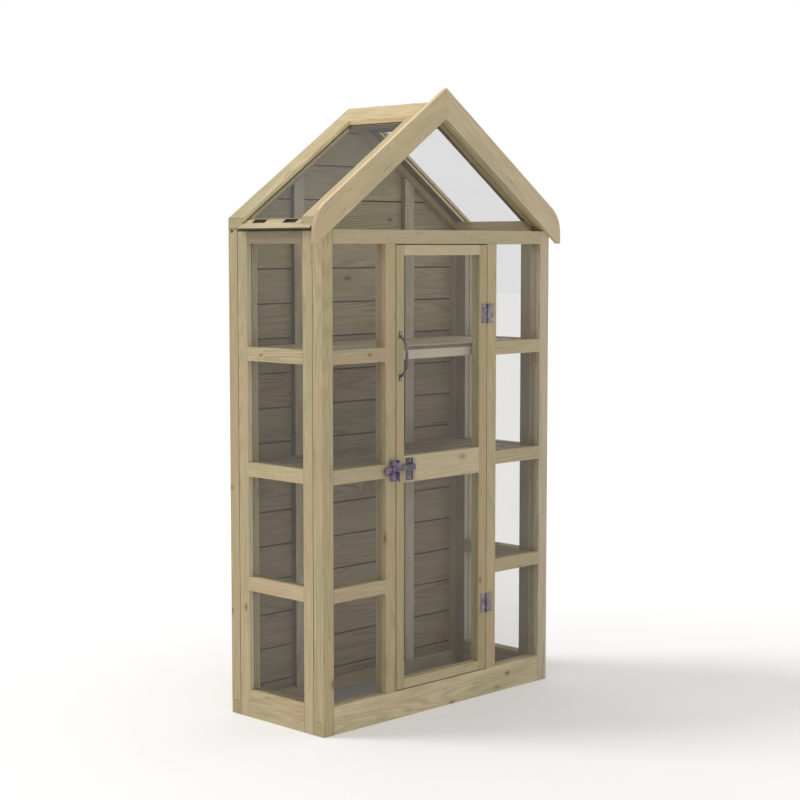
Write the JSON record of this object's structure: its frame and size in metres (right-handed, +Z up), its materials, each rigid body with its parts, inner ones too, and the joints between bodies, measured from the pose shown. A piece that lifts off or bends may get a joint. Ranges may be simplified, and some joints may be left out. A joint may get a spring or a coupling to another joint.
{
  "type": "timber greenhouse cabinet",
  "caption": "Wall-backed timber greenhouse cabinet with glazed front and sides, boarded back, slatted shelves, glazed door and gabled glass roof with opening light.",
  "frame": {"origin": "on the ground under the middle of the whole object, with the door's handle counted in the depth", "axes": "+X to the right seen from the door side, +Y from the door towards the wall, +Z up"},
  "size_m": [1.166, 0.48, 2.05],
  "materials": {
    "frame_softwood": "pressure-treated planed softwood",
    "door_softwood": "pressure-treated planed softwood",
    "roof_softwood": "pressure-treated planed softwood",
    "shelf_softwood": "planed softwood slats",
    "back_softwood": "matched softwood boards",
    "barge_softwood": "pressure-treated planed softwood",
    "horticultural_glass": "clear float glass",
    "zinc_plated_steel": "passivated zinc plate"
  },
  "bodies": {
    "cabinet": {"front_left_post": "frame_softwood", "front_right_post": "frame_softwood", "rear_left_post": "frame_softwood", "rear_right_post": "frame_softwood", "front_bottom_rail": "frame_softwood", "head_rail": "frame_softwood", "left_jamb": "frame_softwood", "right_jamb": "frame_softwood", "front_left_window_rails": "frame_softwood", "front_right_window_rails": "frame_softwood", "front_left_panes": "horticultural_glass", "front_right_panes": "horticultural_glass", "left_side_stiles": "frame_softwood", "right_side_stiles": "frame_softwood", "left_side_window_rails": "frame_softwood", "right_side_window_rails": "frame_softwood", "side_bottom_rails": "frame_softwood", "side_top_rails": "frame_softwood", "left_side_panes": "horticultural_glass", "right_side_panes": "horticultural_glass", "eaves_plates": "frame_softwood", "rear_sill": "back_softwood", "rear_boards": "back_softwood", "rear_battens": "back_softwood", "front_left_rafter": "frame_softwood", "front_right_rafter": "frame_softwood", "rear_left_rafter": "frame_softwood", "rear_right_rafter": "frame_softwood", "gable_pane": "horticultural_glass", "left_bargeboard": "barge_softwood", "right_bargeboard": "barge_softwood", "fixed_roof_top_rail": "roof_softwood", "fixed_roof_stiles": "roof_softwood", "fixed_roof_bottom_rail": "roof_softwood", "fixed_roof_pane": "horticultural_glass", "ridge_hinge_fixed_leaves": "zinc_plated_steel", "hinge_pins": "zinc_plated_steel", "shelf_bearers": "shelf_softwood", "upper_shelf_slats": "shelf_softwood", "lower_shelf_slats": "shelf_softwood", "door_stops": "door_softwood", "door_hinge_frame_leaves": "zinc_plated_steel", "latch_catch": "zinc_plated_steel", "cabinet_screws": "zinc_plated_steel"},
    "door": {"door_left_stile": "door_softwood", "door_right_stile": "door_softwood", "door_top_rail": "door_softwood", "door_lock_rail": "door_softwood", "door_bottom_rail": "door_softwood", "door_panes": "horticultural_glass", "bow_handle": "zinc_plated_steel", "latch_striker": "zinc_plated_steel", "door_hinge_door_leaves": "zinc_plated_steel", "door_screws": "zinc_plated_steel"},
    "roof_light": {"roof_light_top_rail": "roof_softwood", "roof_light_stiles": "roof_softwood", "roof_light_bottom_rail": "roof_softwood", "roof_light_pane": "horticultural_glass", "ridge_hinge_light_leaves": "zinc_plated_steel"},
    "latch_lever": {"latch_lever": "zinc_plated_steel"}
  },
  "joints": [
    {"name": "door_swing", "type": "hinge", "parent": "cabinet", "child": "door", "pos_m": [0.22, -0.209, 0.817], "axis": [0, 0, 1], "range_deg": [0, 165]},
    {"name": "roof_light_lift", "type": "hinge", "parent": "cabinet", "child": "roof_light", "pos_m": [0, 0.0255, 2.00597], "axis": [0, 1, 0], "range_deg": [0, 70]},
    {"name": "latch_lift", "type": "hinge", "parent": "cabinet", "child": "latch_lever", "pos_m": [-0.2335, -0.212, 0.842], "axis": [-1, 0, 0], "range_deg": [0, 60]}
  ]
}
